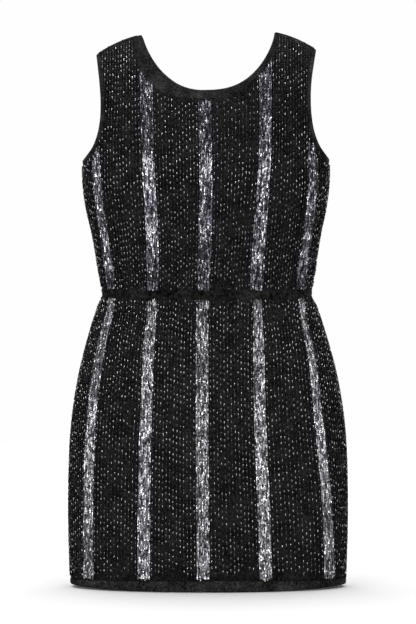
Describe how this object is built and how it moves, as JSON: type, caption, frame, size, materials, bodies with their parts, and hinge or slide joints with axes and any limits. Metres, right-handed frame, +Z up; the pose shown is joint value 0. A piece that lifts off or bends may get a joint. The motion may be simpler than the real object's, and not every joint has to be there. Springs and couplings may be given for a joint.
{
  "type": "sheath dress",
  "caption": "Short sleeveless sheath dress with a scoop neck and a gathered elastic waist, beaded all over in black with silver upright stripes, standing filled out and hollow.",
  "frame": {"origin": "Midway between the two shoulder seams, level with the mean of their high points, where the wearer's shoulders hold the dress. The dress hangs with its +X shoulder 5 mm higher than the other.", "axes": "+Z up along the body, +X to the right as seen from the front, -Y out of the front of the dress."},
  "size_m": [0.4116, 0.2248, 0.8156],
  "materials": {
    "beaded_cloth": "black bugle beads in upright rows on thin black cloth, glossy, with upright stripes of silver seed beads",
    "plain_cloth": "smooth matt black cloth",
    "gathered_cloth": "black cloth gathered on elastic"
  },
  "bodies": {
    "root": {"bodice_front": "beaded_cloth", "bodice_back": "beaded_cloth", "skirt_front": "beaded_cloth", "skirt_back": "beaded_cloth", "waist_casing": "gathered_cloth", "hem_band": "plain_cloth", "neck_binding": "plain_cloth", "armhole_binding_l": "plain_cloth", "armhole_binding_r": "plain_cloth"}
  },
  "joints": []
}
